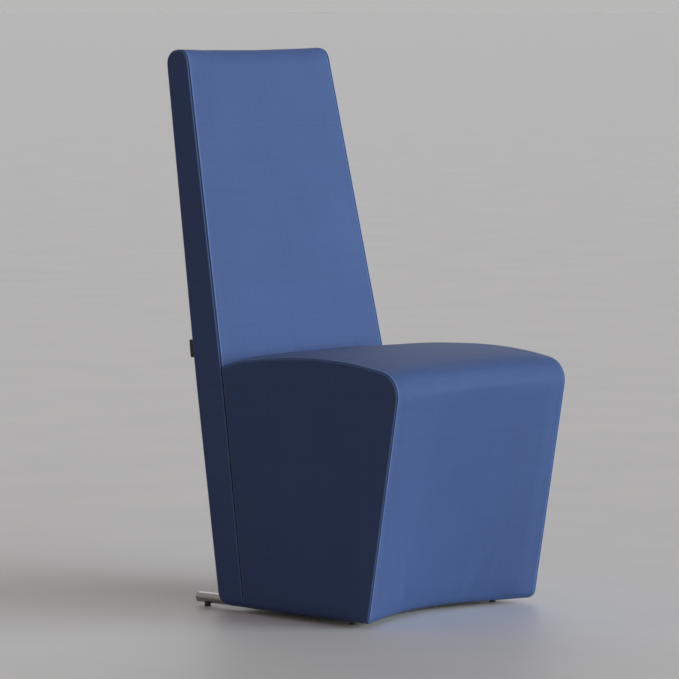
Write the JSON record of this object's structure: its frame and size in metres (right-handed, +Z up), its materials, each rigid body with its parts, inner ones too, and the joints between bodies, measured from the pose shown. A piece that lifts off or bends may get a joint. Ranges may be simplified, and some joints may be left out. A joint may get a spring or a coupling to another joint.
{
  "type": "high back dining chair",
  "caption": "Fully upholstered high back dining chair: padded block seat with a bowed-in front and a tall leaning slab back on low steel runners.",
  "frame": {"origin": "centre of the chair's box, on the floor", "axes": "+Z up, the seat faces -Y, +X towards the right of someone who looks at the chair's front"},
  "size_m": [0.5056, 0.627, 1.08],
  "materials": {
    "main_fabric": "plain woven blue upholstery cloth",
    "side_fabric": "plain woven blue upholstery cloth, side panels",
    "foam": "upholstery foam under the covers",
    "webbing": "woven elastic webbing",
    "dust_cloth": "thin non-woven cloth",
    "tag": "black woven ribbon, bare",
    "frame_wood": "sawn hardwood",
    "board": "plywood and bent ply",
    "runner_steel": "brushed stainless tube",
    "end_plug": "brushed end cap",
    "fastener": "zinc plated",
    "glide": "black nylon"
  },
  "bodies": {
    "root": {"left_runner_tube": "runner_steel", "right_runner_tube": "runner_steel", "runner_end_plugs": "end_plug", "left_rear_glide": "glide", "right_rear_glide": "glide", "left_front_glide": "glide", "right_front_glide": "glide", "runner_bolts": "fastener", "base_board": "board", "left_side_board": "board", "right_side_board": "board", "front_board": "board", "front_posts": "frame_wood", "rear_posts": "frame_wood", "seat_front_rail": "frame_wood", "seat_rear_rail": "frame_wood", "lengthwise_webbing": "webbing", "crosswise_webbing": "webbing", "seat_foam": "foam", "front_foam": "foam", "left_side_pad": "foam", "right_side_pad": "foam", "seat_cover": "main_fabric", "left_side_cover": "side_fabric", "right_side_cover": "side_fabric", "dust_cover": "dust_cloth", "left_stile": "frame_wood", "right_stile": "frame_wood", "back_foot_rail": "frame_wood", "back_joint_rail": "frame_wood", "back_middle_rail": "frame_wood", "back_top_rail": "frame_wood", "back_panel": "board", "back_webbing": "webbing", "back_foam": "foam", "back_top_foam": "foam", "back_rear_foam": "foam", "left_edge_pad": "foam", "right_edge_pad": "foam", "back_front_cover": "main_fabric", "back_rear_cover": "main_fabric", "left_edge_cover": "side_fabric", "right_edge_cover": "side_fabric", "frame_bolts": "fastener", "frame_nuts": "fastener", "blank_tag": "tag"}
  },
  "joints": []
}
